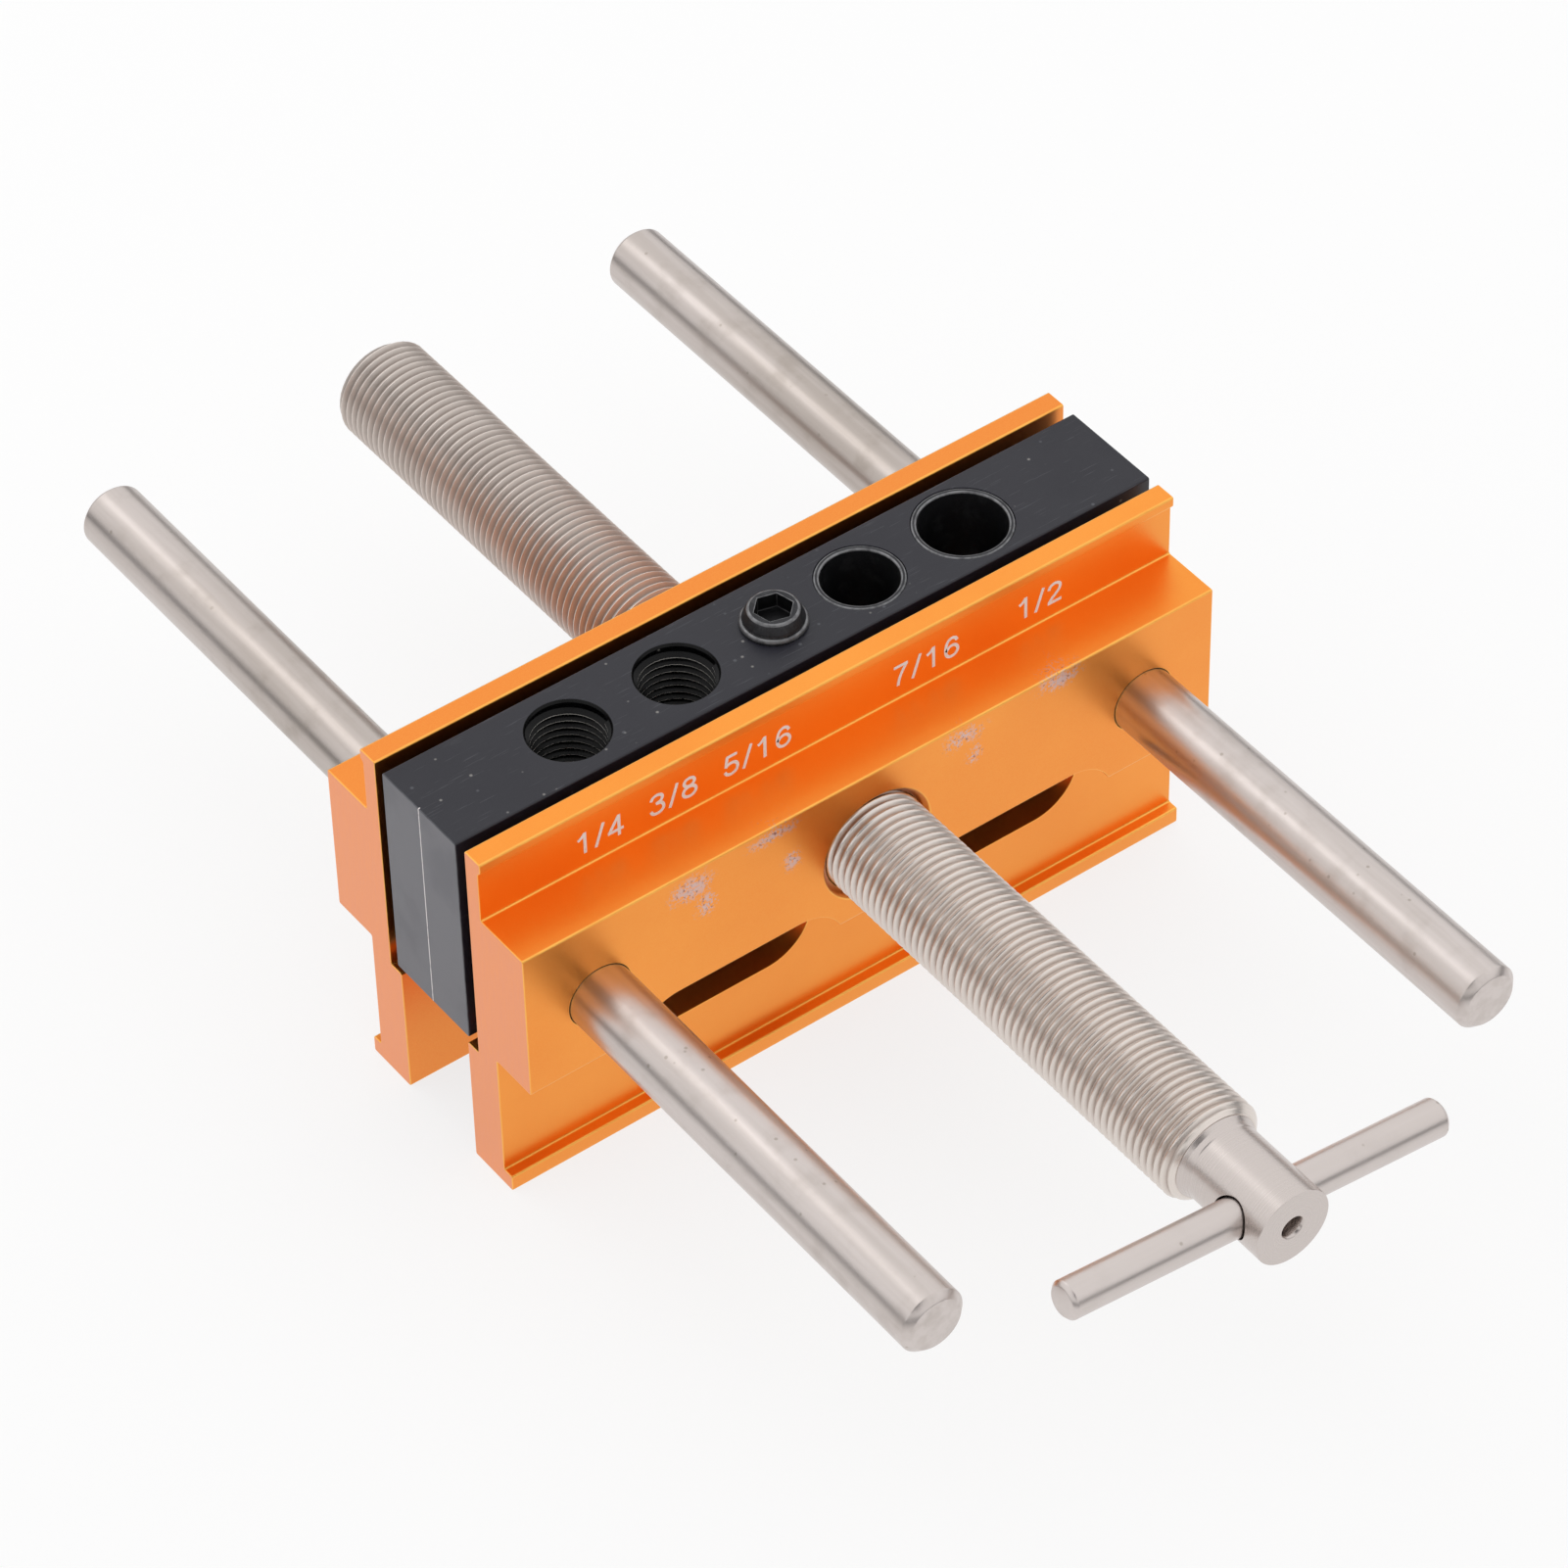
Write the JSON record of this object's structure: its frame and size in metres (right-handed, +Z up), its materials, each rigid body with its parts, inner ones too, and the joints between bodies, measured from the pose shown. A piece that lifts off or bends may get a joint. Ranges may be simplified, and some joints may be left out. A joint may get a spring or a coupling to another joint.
{
  "type": "self centring dowelling jig",
  "caption": "Two jaws on guide rods, drawn together by a lead screw with a tommy bar, centre a drill guide block over the edge of a board.",
  "frame": {"origin": "middle of the guide block's underside, where the board's edge rests", "axes": "+X along the jaws to the side of the two pressed in bushings, -Y towards the tommy bar, +Z up out of the drill guides"},
  "size_m": [0.1166, 0.2084, 0.0632],
  "materials": {
    "orange_anodised": "satin orange anodised extrusion",
    "black_anodised": "satin black anodised",
    "screw_steel": "cut thread, oiled",
    "ground_steel": "ground",
    "blackened_steel": "black oxide, worn bright on the rims"
  },
  "bodies": {
    "guide_block": {"centre_block": "black_anodised", "guide_rod_left": "ground_steel", "guide_rod_right": "ground_steel", "bushing_large": "blackened_steel", "bushing_small": "blackened_steel", "retaining_screw": "blackened_steel", "retaining_washer": "blackened_steel", "rod_locking_screws": "blackened_steel"},
    "screw": {"lead_screw": "screw_steel"},
    "handle": {"tommy_bar": "ground_steel"},
    "front_clamp": {"front_jaw": "orange_anodised"},
    "rear_clamp": {"rear_jaw": "orange_anodised"}
  },
  "joints": [
    {"name": "lead_screw_turn", "type": "hinge", "parent": "guide_block", "child": "screw", "pos_m": [0, 0, 0.0124], "axis": [0, -1, 0], "range_deg": [-480, 18600]},
    {"name": "front_jaw_slide", "type": "slide", "parent": "guide_block", "child": "front_clamp", "axis": [0, -1, 0], "range_m": [-0.00181, 0.06976]},
    {"name": "rear_jaw_slide", "type": "slide", "parent": "guide_block", "child": "rear_clamp", "axis": [0, 1, 0], "range_m": [-0.00181, 0.06976]},
    {"name": "tommy_bar_slide", "type": "slide", "parent": "screw", "child": "handle", "axis": [0.9938, 0, -0.1115], "range_m": [-0.0225, 0.0265]}
  ],
  "couplings": [
    {"joint": "front_jaw_slide", "follows": "lead_screw_turn", "m_per_rad": 0.00021486},
    {"joint": "rear_jaw_slide", "follows": "lead_screw_turn", "m_per_rad": 0.00021486}
  ]
}
